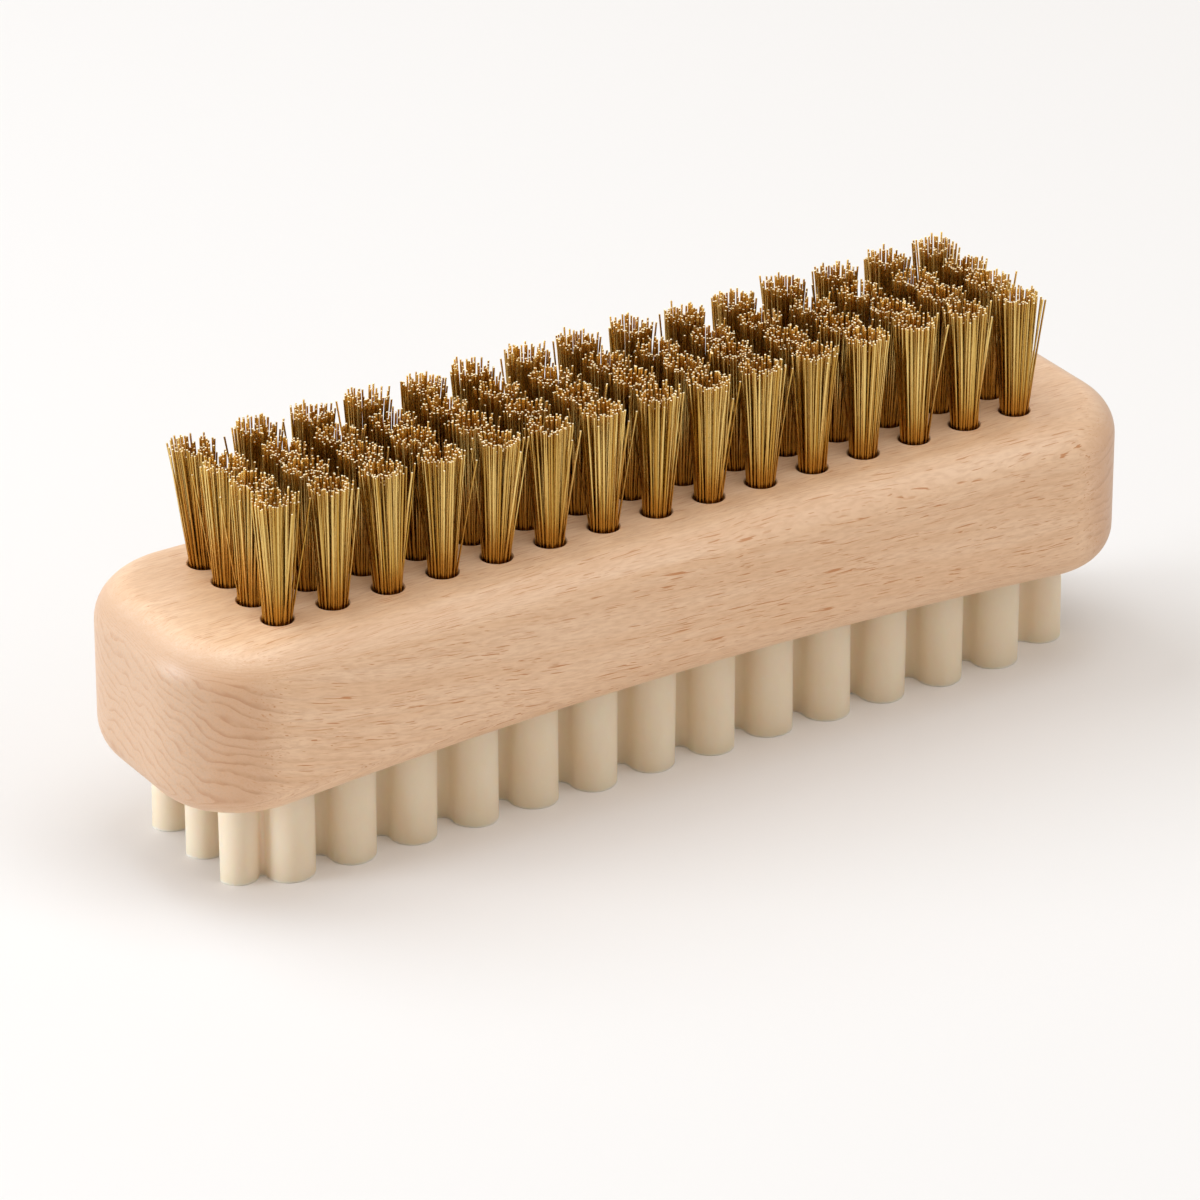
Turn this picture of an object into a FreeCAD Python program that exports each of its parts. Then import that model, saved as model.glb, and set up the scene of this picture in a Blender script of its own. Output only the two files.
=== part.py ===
import FreeCAD, Part
import os

import Sketcher

# Suede brush: an arched beech block with brass wire tufts on top and three corrugated crepe strips below.
# Millimetres. X runs along the brush, -Y is the side towards the viewer, Z = 0 is where the crepe stands.

SIZES = (
    ("block_length", 120.0, "beech block, end to end"),
    ("block_width", 31.4, "beech block, side to side"),
    ("block_height", 20.0, "beech block, top face to the underside at the ends"),
    ("arch_rise", 2.8, "rise of the hollow underside at mid-length"),
    ("plan_corner_radius", 11.3, "round corners seen from above"),
    ("top_edge_radius", 4.3, "soft edge round the top face"),
    ("lower_edge_radius", 4.7, "soft edge round the underside"),
    ("tuft_columns", 15, "tufts along the block"),
    ("tuft_rows", 4, "tufts across the block"),
    ("tuft_end_margin", 13.45, "block end to the first column"),
    ("tuft_side_margin", 8.05, "block side to the first row"),
    ("hole_diameter", 3.5, "tuft hole, corner to corner"),
    ("hole_depth", 9.0, "tuft hole"),
    ("tuft_height", 13.9, "wire tips above the top face"),
    ("strand_count", 6, "strands round a tuft, and flats round its hole"),
    ("tuft_foot_radius", 1.2, "folded foot of a tuft, to the crests of its strands"),
    ("tuft_tip_radius", 2.4, "flared tip of a tuft, to the crests of its strands"),
    ("groove_share", 0.72, "grooves between the strands, of the radius of the crests"),
    ("tuft_opening", 1.5, "between the two halves of a tuft at its tips"),
    ("fold_height", 1.0, "wire folded below the anchor"),
    ("anchor_thickness", 0.5, "flat anchor wire"),
    ("anchor_height", 1.8, "flat anchor wire"),
    ("anchor_end_gap", 0.06, "anchor end to the wall of the hole"),
    ("anchor_side_gap", 0.03, "anchor face to the wires beside it"),
    ("crepe_reach", 10.25, "crepe below the ends of the block"),
    ("crepe_thickness", 1.5, "crepe sheet"),
    ("lobe_count", 13, "front lobes of a strip"),
    ("overturn_angle", 8.4, "degrees that a lobe goes on past a half circle at each side"),
    ("bend_outer_flats", 6, "flats round the outside of a bend in the sheet"),
    ("bend_inner_flats", 3, "flats round the inside of a bend in the sheet"),
    ("end_lobe_radius", 1.6, "middle of the sheet, lobe at each end of a strip"),
    ("left_valley_radius", 1.1, "middle of the sheet, first valley on the left"),
    ("left_turn_angle", 140.0, "degrees of valley before the left end lobe"),
    ("right_valley_radius", 2.3, "middle of the sheet, last valley on the right"),
    ("right_turn_angle", 154.5, "degrees of valley before the right end lobe"),
    ("recess_depth", 2.0, "glued recess for the strips, at mid-length"),
    ("recess_wall", 3.0, "wood between the recess and the outside of the block"),
    ("crepe_left_gap", 4.1, "strips to the left end of the recess"),
    ("crepe_right_gap", 2.15, "strips to the right end of the recess"),
    ("crepe_front_gap", 2.6, "front strip to the front wall of the recess"),
    ("crepe_back_gap", 2.95, "lobes of the back strip to the back wall of the recess"),
)

# Sizes that follow from those above. The spread and side shares are the length of a strand's sides and how
# far they lie from the tuft's middle, of the radius of the crests. The pitch of the lobes makes a strip with
# its last valleys and end lobes fill the recess less the gaps, and the wave's radius and offset are those of
# the middle of the sheet.
DERIVED = (
    ("block_foot", "crepe_reach"),
    ("block_top", "crepe_reach + block_height"),
    ("strip_height", "crepe_reach + arch_rise + recess_depth"),
    ("tuft_pitch", "(block_length - 2 * tuft_end_margin) / (tuft_columns - 1)"),
    ("row_gap", "(block_width - 2 * tuft_side_margin) / (tuft_rows - 1)"),
    ("recess_length", "block_length - 2 * recess_wall"),
    ("recess_width", "block_width - 2 * recess_wall"),
    ("recess_corner_radius", "plan_corner_radius - recess_wall"),
    ("tuft_foot", "block_top - hole_depth"),
    ("tuft_length", "hole_depth + tuft_height"),
    ("flat_share", "cos(180deg / strand_count)"),
    ("spread_share", "sqrt(1 + groove_share ^ 2 - 2 * groove_share * flat_share)"),
    ("side_share", "groove_share * sin(180deg / strand_count) / spread_share"),
    ("anchor_length", "hole_diameter * flat_share - 2 * anchor_end_gap"),
    ("slit_width", "anchor_thickness + 2 * anchor_side_gap"),
    ("left_lean_share", "-cos(left_turn_angle * 1deg)"),
    ("right_lean_share", "-cos(right_turn_angle * 1deg)"),
    ("strip_length", "recess_length - crepe_left_gap - crepe_right_gap"),
    ("run_share", "cos(overturn_angle * 1deg)"),
    ("rise_share", "sin(overturn_angle * 1deg)"),
    ("left_valley_run", "(run_share + left_lean_share) * left_valley_radius"),
    ("right_valley_run", "(run_share + right_lean_share) * right_valley_radius"),
    ("left_end_run", "left_valley_run + (1 + left_lean_share) * end_lobe_radius + crepe_thickness / 2"),
    ("right_end_run", "right_valley_run + (1 + right_lean_share) * end_lobe_radius + crepe_thickness / 2"),
    ("lobe_pitch", "(strip_length - left_end_run - right_end_run) / (lobe_count - 1 / 2)"),
    ("wave_radius", "lobe_pitch / 4 / run_share"),
    ("wave_offset", "wave_radius * rise_share"),
    ("first_lobe", "-recess_length / 2 + crepe_left_gap + left_end_run + lobe_pitch / 4"),
    ("last_lobe", "first_lobe + lobe_pitch * (lobe_count - 1)"),
    ("strip_depth", "2 * (wave_radius + wave_offset) + crepe_thickness"),
    ("front_strip", "(strip_depth - recess_width) / 2 + crepe_front_gap"),
    ("back_strip", "(recess_width - strip_depth) / 2 - crepe_back_gap"),
)

# Edges and faces are found by place or direction to within this share.
NEAR_SHARE = 1e-6

doc = FreeCAD.newDocument("suede_brush")
sheet = doc.addObject("Spreadsheet::Sheet", "Sizes")


def fill_sheet():
    """Driving sizes as numbers, then the sizes that follow from them as formulas."""
    row = 1
    for alias, number, note in SIZES:
        sheet.set(f"A{row}", alias)
        sheet.set(f"B{row}", str(number))
        sheet.setAlias(f"B{row}", alias)
        sheet.set(f"C{row}", note)
        row += 1
    for alias, formula in DERIVED:
        sheet.set(f"A{row}", alias)
        sheet.set(f"B{row}", "=" + formula)
        sheet.setAlias(f"B{row}", alias)
        row += 1
    doc.recompute()


def value(expression):
    """The number that an expression of the sheet's sizes stands for."""
    return float(sheet.evalExpression(expression))


def new_body(label, **place):
    """A body named as its file, placed by an expression for each axis that moves."""
    body = doc.addObject("PartDesign::Body", label)
    body.Label = label
    body.AllowCompound = True
    for axis, expression in place.items():
        body.setExpression(f"Placement.Base.{axis}", expression)
    return body


def new_sketch(body, name, plane_role, **offset):
    """A sketch on one of the body's own planes, moved along its own axes by an expression for each."""
    sketch = body.newObject("Sketcher::SketchObject", name)
    plane = next(f for f in body.Origin.OriginFeatures if f.Role == plane_role)
    sketch.AttachmentSupport = (plane, [""])
    sketch.MapMode = "FlatFace"
    for axis, expression in offset.items():
        sketch.setExpression(f"AttachmentOffset.Base.{axis}", expression)
    return sketch


def drive(sketch, name, expression, *constraint):
    """A named dimension of a sketch, bound to the sheet."""
    index = sketch.addConstraint(Sketcher.Constraint(*constraint))
    sketch.renameConstraint(index, name)
    sketch.setExpression("Constraints." + name, expression)


def join(sketch, *pairs):
    for first, first_end, second, second_end in pairs:
        sketch.addConstraint(Sketcher.Constraint("Coincident", first, first_end, second, second_end))


def line(start, end):
    return Part.LineSegment(FreeCAD.Vector(*start, 0), FreeCAD.Vector(*end, 0))


def arc(centre, radius, start, end):
    """An arc of a circle, angles in radians, anticlockwise."""
    circle = Part.Circle(FreeCAD.Vector(*centre, 0), FreeCAD.Vector(0, 0, 1), radius)
    return Part.ArcOfCircle(circle, start, end)


def turn(reach, degrees, centre=FreeCAD.Vector()):
    """The point at a distance and an angle from a centre."""
    spoke = FreeCAD.Rotation(FreeCAD.Vector(0, 0, 1), degrees).multVec(FreeCAD.Vector(reach, 0, 0))
    return centre.x + spoke.x, centre.y + spoke.y


def closed_outline(sketch, corners):
    """Straight sides from corner to corner and back to the first."""
    for start, end in zip(corners, corners[1:] + corners[:1]):
        sketch.addGeometry(line(start, end))
    for side in range(len(corners)):
        join(sketch, (side, 2, (side + 1) % len(corners), 1))


def rectangle(sketch, across, along):
    """A rectangle of two sizes, centred on the sketch's origin."""
    half_x = value(across) / 2
    half_y = value(along) / 2
    closed_outline(sketch, [(-half_x, -half_y), (half_x, -half_y), (half_x, half_y), (-half_x, half_y)])
    for side, lie in enumerate(("Horizontal", "Vertical", "Horizontal", "Vertical")):
        sketch.addConstraint(Sketcher.Constraint(lie, side))
    sketch.addConstraint(Sketcher.Constraint("Symmetric", 0, 1, 1, 2, -1, 1))
    drive(sketch, "across", across, "DistanceX", 0, 1, 0, 2, 2 * half_x)
    drive(sketch, "along", along, "DistanceY", 1, 1, 1, 2, 2 * half_y)


def wedge(sketch, low_width, high_width, low, high):
    """An upright shape about the sketch's vertical axis that widens from a low level to a high one."""
    half_low = value(low_width) / 2
    half_high = value(high_width) / 2
    foot = value(low)
    head = value(high)
    closed_outline(sketch, [(-half_low, foot), (half_low, foot), (half_high, head), (-half_high, head)])
    sketch.addConstraint(Sketcher.Constraint("Symmetric", 0, 1, 0, 2, -2))
    sketch.addConstraint(Sketcher.Constraint("Symmetric", 2, 1, 2, 2, -2))
    drive(sketch, "low_width", low_width, "DistanceX", 0, 1, 0, 2, 2 * half_low)
    drive(sketch, "high_width", high_width, "DistanceX", 2, 2, 2, 1, 2 * half_high)
    drive(sketch, "low", low, "DistanceY", -1, 1, 0, 1, foot)
    drive(sketch, "high", high, "DistanceY", -1, 1, 2, 1, head)


def star(sketch, radii, count):
    """Corners on one or more circles in turn, in equal sides round the origin, the first circle's on +Y."""
    reaches = [value(radius) for radius in radii]
    total = int(value(count)) * len(radii)
    step = 360 / total
    closed_outline(sketch, [turn(reaches[k % len(radii)], 90 + step * k) for k in range(total)])
    rims = []
    for k, (radius, reach) in enumerate(zip(radii, reaches)):
        rims.append(sketch.addGeometry(Part.Circle(FreeCAD.Vector(), FreeCAD.Vector(0, 0, 1), reach), True))
        join(sketch, (rims[-1], 3, -1, 1))
        drive(sketch, f"radius_{k}", radius, "Radius", rims[-1], reach)
    for side in range(total):
        sketch.addConstraint(Sketcher.Constraint("PointOnObject", side, 1, rims[side % len(radii)]))
        if side:
            sketch.addConstraint(Sketcher.Constraint("Equal", 0, side))
    sketch.addConstraint(Sketcher.Constraint("PointOnObject", 0, 1, -2))


def bent_sheet(sketch, centre_x, centre_y, radius, start, end):
    """The crepe sheet bent round a centre between two angles in degrees: flats with corners on two arcs."""
    centre = FreeCAD.Vector(value(centre_x), value(centre_y), 0)
    first = value(start)
    sweep = value(end) - first
    sides = (
        ("outside", f"{radius} + Sizes.crepe_thickness / 2", "Sizes.bend_outer_flats"),
        ("inside", f"{radius} - Sizes.crepe_thickness / 2", "Sizes.bend_inner_flats"),
    )
    rims = []
    chains = []
    for name, expression, flats in sides:
        reach = value(expression)
        count = int(value(flats))
        rim = sketch.addGeometry(Part.Circle(centre, FreeCAD.Vector(0, 0, 1), reach), True)
        drive(sketch, name, expression, "Radius", rim, reach)
        corners = [turn(reach, first + sweep * k / count, centre) for k in range(count + 1)]
        chain = [sketch.addGeometry(line(*ends)) for ends in zip(corners, corners[1:])]
        for side in chain:
            sketch.addConstraint(Sketcher.Constraint("PointOnObject", side, 1, rim))
        sketch.addConstraint(Sketcher.Constraint("PointOnObject", chain[-1], 2, rim))
        for side, following in zip(chain, chain[1:]):
            join(sketch, (side, 2, following, 1))
            sketch.addConstraint(Sketcher.Constraint("Equal", side, following))
        rims.append(rim)
        chains.append(chain)
    outside, inside = chains
    join(sketch, (rims[0], 3, rims[1], 3))
    cuts = (("start", start, outside[0], inside[0], 1), ("finish", end, outside[-1], inside[-1], 2))
    for name, angle, outer_side, inner_side, tip in cuts:
        degrees = value(angle)
        ends = [turn(value(expression), degrees, centre) for _, expression, _ in reversed(sides)]
        cut = sketch.addGeometry(line(*ends))
        join(sketch, (inner_side, tip, cut, 1), (outer_side, tip, cut, 2))
        sketch.addConstraint(Sketcher.Constraint("PointOnObject", rims[0], 3, cut))
        radians = FreeCAD.Units.Quantity(degrees, FreeCAD.Units.Angle).getValueAs("rad").Value
        drive(sketch, name, angle, "Angle", cut, radians)
    drive(sketch, "centre_x", centre_x, "DistanceX", -1, 1, rims[0], 3, centre.x)
    drive(sketch, "centre_y", centre_y, "DistanceY", -1, 1, rims[0], 3, centre.y)


def pad(body, sketch, length, symmetric=False):
    feature = body.newObject("PartDesign::Pad", "pad_" + sketch.Name)
    feature.Profile = sketch
    feature.setExpression("Length", length)
    if symmetric:
        feature.SideType = "Symmetric"
    doc.recompute()
    return feature


def pocket(body, sketch, length, symmetric=False):
    """A cut against the sketch's normal, which has to take something away."""
    before = body.Shape.Volume
    feature = body.newObject("PartDesign::Pocket", "cut_" + sketch.Name)
    feature.Profile = sketch
    feature.setExpression("Length", length)
    if symmetric:
        feature.SideType = "Symmetric"
    doc.recompute()
    if not feature.Shape.Volume < before:
        raise RuntimeError(f"{feature.Name} cuts nothing")
    return feature


def repeat(body, name, features, *directions):
    """A pattern along one or two axes of a sketch, each with a full length and a count."""
    pattern = body.newObject("PartDesign::LinearPattern", name)
    pattern.Originals = features
    for suffix, (sketch, axis, length, count) in zip(("", "2"), directions):
        setattr(pattern, "Direction" + suffix, (sketch, [axis]))
        pattern.setExpression("Length" + suffix, length)
        pattern.setExpression("Occurrences" + suffix, count)
    body.Tip = pattern
    doc.recompute()
    return pattern


def soften(body, name, base, edges, radius):
    """A fillet on the edges of the base feature that a test picks."""
    feature = body.newObject("PartDesign::Fillet", name)
    names = [f"Edge{k}" for k, edge in enumerate(base.Shape.Edges, 1) if edges(edge)]
    feature.Base = (base, names)
    feature.setExpression("Radius", radius)
    doc.recompute()
    return feature


def block_profile(sketch):
    """Side view of the block: flat top, upright ends and one long arc below."""
    half = value("Sizes.block_length") / 2
    foot = value("Sizes.block_foot")
    top = value("Sizes.block_top")
    crown = foot + value("Sizes.arch_rise")
    below = Part.Arc(
        FreeCAD.Vector(-half, foot, 0), FreeCAD.Vector(0, crown, 0), FreeCAD.Vector(half, foot, 0)
    )
    sketch.addGeometry(line((-half, foot), (-half, top)))
    sketch.addGeometry(line((-half, top), (half, top)))
    sketch.addGeometry(line((half, top), (half, foot)))
    sketch.addGeometry(below)
    middle = sketch.addGeometry(Part.Point(FreeCAD.Vector(0, crown, 0)), True)
    join(sketch, (0, 2, 1, 1), (1, 2, 2, 1), (2, 2, 3, 1), (0, 1, 3, 2))
    for side, lie in enumerate(("Vertical", "Horizontal", "Vertical")):
        sketch.addConstraint(Sketcher.Constraint(lie, side))
    sketch.addConstraint(Sketcher.Constraint("Symmetric", 0, 1, 2, 2, -2))
    sketch.addConstraint(Sketcher.Constraint("PointOnObject", middle, 1, 3))
    sketch.addConstraint(Sketcher.Constraint("PointOnObject", middle, 1, -2))
    drive(sketch, "length", "Sizes.block_length", "DistanceX", 1, 1, 1, 2, 2 * half)
    drive(sketch, "height", "Sizes.block_height", "DistanceY", 0, 1, 0, 2, top - foot)
    drive(sketch, "foot", "Sizes.block_foot", "DistanceY", -1, 1, 0, 1, foot)
    drive(sketch, "rise", "Sizes.arch_rise", "DistanceY", 0, 1, middle, 1, crown - foot)


def rounded_rectangle(sketch, length, width, radius):
    """A rectangle with round corners, centred on the origin, drawn anticlockwise from its lower side."""
    reach_x = value(length) / 2
    reach_y = value(width) / 2
    corner = value(radius)
    flat_x = reach_x - corner
    flat_y = reach_y - corner
    quarter = FreeCAD.Units.Quantity("90 deg").getValueAs("rad").Value
    sides = (
        ((-flat_x, -reach_y), (flat_x, -reach_y)),
        ((reach_x, -flat_y), (reach_x, flat_y)),
        ((flat_x, reach_y), (-flat_x, reach_y)),
        ((-reach_x, flat_y), (-reach_x, -flat_y)),
    )
    centres = ((flat_x, -flat_y), (flat_x, flat_y), (-flat_x, flat_y), (-flat_x, -flat_y))
    for start, end in sides:
        sketch.addGeometry(line(start, end))
    for k, centre in enumerate(centres):
        sketch.addGeometry(arc(centre, corner, (k - 1) * quarter, k * quarter))
    for k in range(4):
        bend = 4 + k
        sketch.addConstraint(Sketcher.Constraint("Tangent", k, 2, bend, 1))
        sketch.addConstraint(Sketcher.Constraint("Tangent", bend, 2, (k + 1) % 4, 1))
        if k:
            sketch.addConstraint(Sketcher.Constraint("Equal", 4, bend))
    sketch.addConstraint(Sketcher.Constraint("Horizontal", 0))
    sketch.addConstraint(Sketcher.Constraint("Vertical", 1))
    sketch.addConstraint(Sketcher.Constraint("Symmetric", 4, 3, 6, 3, -1, 1))
    drive(sketch, "radius", radius, "Radius", 4, corner)
    drive(sketch, "length", length, "DistanceX", 3, 1, 1, 1, 2 * reach_x)
    drive(sketch, "width", width, "DistanceY", 0, 1, 2, 1, 2 * reach_y)


def make_block():
    """Beech block: side view across the width, round corners and edges, recess below, holes above."""
    body = new_body("beech_block")
    profile = new_sketch(body, "block_side_view", "XZ_Plane")
    block_profile(profile)
    blank = pad(body, profile, "Sizes.block_width", symmetric=True)
    near = value("Sizes.block_height") * NEAR_SHARE
    top = value("Sizes.block_top")
    crown = value("Sizes.block_foot + Sizes.arch_rise")
    corners = soften(
        body,
        "plan_corners",
        blank,
        lambda edge: max(edge.BoundBox.XLength, edge.BoundBox.YLength) < near,
        "Sizes.plan_corner_radius",
    )
    top_edge = soften(
        body,
        "top_edge",
        corners,
        lambda edge: edge.BoundBox.ZMin > top - near,
        "Sizes.top_edge_radius",
    )
    soften(
        body,
        "lower_edge",
        top_edge,
        lambda edge: edge.BoundBox.ZMax < crown + near,
        "Sizes.lower_edge_radius",
    )
    recess = new_sketch(body, "crepe_recess", "XY_Plane", z="Sizes.strip_height")
    rounded_rectangle(recess, "Sizes.recess_length", "Sizes.recess_width", "Sizes.recess_corner_radius")
    pocket(body, recess, "Sizes.strip_height")
    columns_run = "Sizes.tuft_pitch * (Sizes.tuft_columns - 1)"
    rows_run = "Sizes.row_gap * (Sizes.tuft_rows - 1)"
    mouth = new_sketch(
        body, "tuft_hole", "XY_Plane", x=f"-{columns_run} / 2", y=f"-{rows_run} / 2", z="Sizes.block_top"
    )
    star(mouth, ["Sizes.hole_diameter / 2"], "Sizes.strand_count")
    hole = pocket(body, mouth, "Sizes.hole_depth")
    repeat(
        body,
        "tuft_holes",
        [hole],
        (mouth, "H_Axis", columns_run, "Sizes.tuft_columns"),
        (mouth, "V_Axis", rows_run, "Sizes.tuft_rows"),
    )
    return body


def column_body(label, column, height):
    """A body at the front tuft of a column."""
    return new_body(
        f"{label}_{column + 1:02d}",
        x=f"Sizes.tuft_pitch * ({column} - (Sizes.tuft_columns - 1) / 2)",
        y="-Sizes.row_gap * (Sizes.tuft_rows - 1) / 2",
        z=height,
    )


def across_rows(body, name, sketch):
    """The whole body again in every row of its column."""
    run = "Sizes.row_gap * (Sizes.tuft_rows - 1)"
    pattern = repeat(body, name, [], (sketch, "V_Axis", run, "Sizes.tuft_rows"))
    pattern.TransformMode = "Whole shape"
    doc.recompute()


def make_tufts(column):
    """One column of tufts: flared bundles of strands, folded at the foot and opening from the anchor up."""
    body = column_body("brass_tufts", column, "Sizes.tuft_foot")
    foot = new_sketch(body, f"foot_{column}", "XY_Plane")
    crest = "Sizes.tuft_foot_radius"
    star(foot, [crest, f"{crest} * Sizes.groove_share"], "Sizes.strand_count")
    bundle = pad(body, foot, "Sizes.tuft_length")
    flare = body.newObject("PartDesign::Draft", f"flare_{column}")
    faces = list(enumerate(bundle.Shape.Faces, 1))
    flare.Base = (bundle, [f"Face{k}" for k, face in faces if abs(face.normalAt(0, 0).z) < NEAR_SHARE])
    flare.NeutralPlane = (bundle, [f"Face{k}" for k, face in faces if face.normalAt(0, 0).z < -NEAR_SHARE])
    flare.Reversed = True
    spread = "(Sizes.tuft_tip_radius - Sizes.tuft_foot_radius) * Sizes.side_share"
    flare.setExpression("Angle", f"atan({spread} / Sizes.tuft_length)")
    doc.recompute()
    slit = new_sketch(body, f"slit_{column}", "YZ_Plane")
    wedge(slit, "Sizes.slit_width", "Sizes.tuft_opening", "Sizes.fold_height", "Sizes.tuft_length")
    pocket(body, slit, "2 * Sizes.tuft_tip_radius", symmetric=True)
    across_rows(body, f"tufts_{column}", foot)
    return body


def make_anchors(column):
    """One column of flat-wire anchors, each standing across the fold of its tuft."""
    body = column_body("tuft_anchors", column, "Sizes.tuft_foot + Sizes.fold_height")
    outline = new_sketch(body, f"anchor_{column}", "XY_Plane")
    rectangle(outline, "Sizes.anchor_length", "Sizes.anchor_thickness")
    pad(body, outline, "Sizes.anchor_height")
    across_rows(body, f"anchors_{column}", outline)
    return body


def make_strip(label, place):
    """Crepe strip: one sheet bent to and fro in round lobes, with a set-back lobe at each end."""
    body = new_body(label, y=place)

    def bend(name, centre_x, centre_y, radius, start, end):
        sketch = new_sketch(body, f"{label}_{name}", "XY_Plane")
        bent_sheet(sketch, centre_x, centre_y, radius, start, end)
        return pad(body, sketch, "Sizes.strip_height")

    def lobes(name, centre_x, centre_y, start, end, count):
        lobe = bend(name, centre_x, centre_y, "Sizes.wave_radius", start, end)
        run = f"Sizes.lobe_pitch * ({count} - 1)"
        repeat(body, f"{label}_{name}s", [lobe], (lobe.Profile[0], "H_Axis", run, count))

    past = "Sizes.overturn_angle"
    first = "Sizes.first_lobe"
    end = "Sizes.end_lobe_radius"
    lobes("front_lobe", first, "-Sizes.wave_offset", f"180 - {past}", f"360 + {past}", "Sizes.lobe_count")
    behind = f"{first} + Sizes.lobe_pitch / 2"
    fewer = "Sizes.lobe_count - 1"
    lobes("back_lobe", behind, "Sizes.wave_offset", f"360 - {past}", f"540 + {past}", fewer)
    tight = "Sizes.left_valley_radius"
    left_turn = "Sizes.left_turn_angle"
    left_x = f"{first} - (Sizes.wave_radius + {tight}) * Sizes.run_share"
    left_y = f"{tight} * Sizes.rise_share"
    bend("left_valley", left_x, left_y, tight, f"360 - {past}", f"360 + {left_turn}")
    bend(
        "left_end",
        f"{left_x} - ({tight} + {end}) * Sizes.left_lean_share",
        f"{left_y} + ({tight} + {end}) * sin({left_turn} * 1deg)",
        end,
        "180",
        f"180 + {left_turn}",
    )
    wide = "Sizes.right_valley_radius"
    right_turn = "Sizes.right_turn_angle"
    right_x = f"Sizes.last_lobe + (Sizes.wave_radius + {wide}) * Sizes.run_share"
    right_y = f"{wide} * Sizes.rise_share"
    bend("right_valley", right_x, right_y, wide, f"180 - {right_turn}", f"180 + {past}")
    bend(
        "right_end",
        f"{right_x} + ({wide} + {end}) * Sizes.right_lean_share",
        f"{right_y} + ({wide} + {end}) * sin({right_turn} * 1deg)",
        end,
        f"360 - {right_turn}",
        "360",
    )
    return body


def check(bodies):
    """Every object is up to date and every sub-part is a valid shape."""
    doc.recompute()
    for item in doc.Objects:
        if "Invalid" in item.State or "Error" in item.State:
            raise RuntimeError(f"{item.Name} failed: {item.State}")
    for body in bodies:
        if body.Shape.isNull() or not body.Shape.isValid():
            raise RuntimeError(f"{body.Label} has no valid shape")


fill_sheet()
columns = range(int(value("Sizes.tuft_columns")))
sub_parts = [make_block()]
sub_parts += [make_tufts(column) for column in columns]
sub_parts += [make_anchors(column) for column in columns]
sub_parts += [
    make_strip("crepe_strip_front", "Sizes.front_strip"),
    make_strip("crepe_strip_middle", "(Sizes.front_strip + Sizes.back_strip) / 2"),
    make_strip("crepe_strip_back", "Sizes.back_strip"),
]
check(sub_parts)
os.makedirs("parts", exist_ok=True)
for sub_part in sub_parts:
    sub_part.Shape.exportStep(f"parts/{sub_part.Label}.step")
    print(sub_part.Label, len(sub_part.Shape.Solids), round(sub_part.Shape.Volume, 1))
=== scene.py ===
import math
import random

import bmesh
import bpy
from mathutils import Matrix, Vector


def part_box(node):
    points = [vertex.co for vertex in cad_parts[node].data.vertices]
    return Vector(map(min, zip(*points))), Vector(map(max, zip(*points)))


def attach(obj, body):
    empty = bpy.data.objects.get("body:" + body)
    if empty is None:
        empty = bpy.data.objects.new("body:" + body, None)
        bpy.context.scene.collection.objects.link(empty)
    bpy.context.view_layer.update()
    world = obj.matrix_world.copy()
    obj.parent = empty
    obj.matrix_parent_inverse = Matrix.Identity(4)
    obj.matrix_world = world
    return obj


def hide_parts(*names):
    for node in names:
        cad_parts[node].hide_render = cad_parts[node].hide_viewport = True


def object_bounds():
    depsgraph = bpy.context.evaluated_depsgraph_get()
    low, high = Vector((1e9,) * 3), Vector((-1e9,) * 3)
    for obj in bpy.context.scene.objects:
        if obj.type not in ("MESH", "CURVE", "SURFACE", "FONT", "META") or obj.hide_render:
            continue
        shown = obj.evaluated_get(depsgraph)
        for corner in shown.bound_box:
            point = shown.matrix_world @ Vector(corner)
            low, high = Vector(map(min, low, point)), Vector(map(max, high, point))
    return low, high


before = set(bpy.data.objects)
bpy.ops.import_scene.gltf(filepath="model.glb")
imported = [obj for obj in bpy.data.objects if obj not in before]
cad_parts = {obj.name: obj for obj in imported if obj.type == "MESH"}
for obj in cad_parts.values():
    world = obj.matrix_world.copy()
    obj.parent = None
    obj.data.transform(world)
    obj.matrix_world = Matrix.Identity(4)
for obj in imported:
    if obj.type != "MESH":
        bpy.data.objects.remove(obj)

# Suede brush: beech block, brass wire tufts and corrugated crepe strips. Metres, in the frame of the solids.

CAD_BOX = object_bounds()
MM = 0.001
BODY = "root"
HALF_TURN = math.pi

# Camera, fitted to the photograph's view. The aim is given from the middle of the block's top face.
VIEW_AZIMUTH = math.radians(-32.562)
VIEW_ELEVATION = math.radians(26.9)
VIEW_DISTANCE = 789.66 * MM
VIEW_LENS = 221.54
VIEW_SENSOR = 36.0
VIEW_ASIDE = 1.848 * MM
VIEW_ABOVE = 12.353 * MM

# Lamps: place, width and power in watts
LAMPS = {
    "key": ((-0.35, 0.5, 0.84), 0.8, 3.8),
    "left": ((-0.95, 0.3, 0.2), 0.5, 6.2),
    "overhead": ((0.1, -0.12, 1.05), 0.8, 3.4),
    "front": ((0.5, -0.7, 0.75), 0.8, 2.2),
}
LAMP_COLOUR = (0.95, 1.04, 1.15)
LAMP_AIM = (0.0, 0.0, 0.02)
SURROUND_LIGHT = (0.395, 0.33, 0.264, 1.0)
SURROUND_SEEN = (1.0, 0.98, 0.95, 1.0)
FLOOR_REACH = 3.0
FLOOR_GLOW = 0.075

# Beech block
BLOCK_HEIGHT = 20.0 * MM
ARCH_RISE = 2.8 * MM
PLAN_CORNER = 11.3 * MM
TOP_EDGE = 4.3 * MM
LOWER_EDGE = 4.7 * MM
RECESS_WALL = 3.0 * MM
RECESS_DEPTH = 2.0 * MM
HOLE_RADIUS = 1.72 * MM
HOLE_DEPTH = 9.0 * MM
HOLE_CHAMFER = 0.13 * MM
SHADE_STRIP = 0.4 * MM
SIDE_STEPS = 64
END_STEPS = 10
CORNER_STEPS = 20
EDGE_STEPS = 12
HOLE_STEPS = 28
BLOCK_CREASE = math.radians(35)

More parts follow.
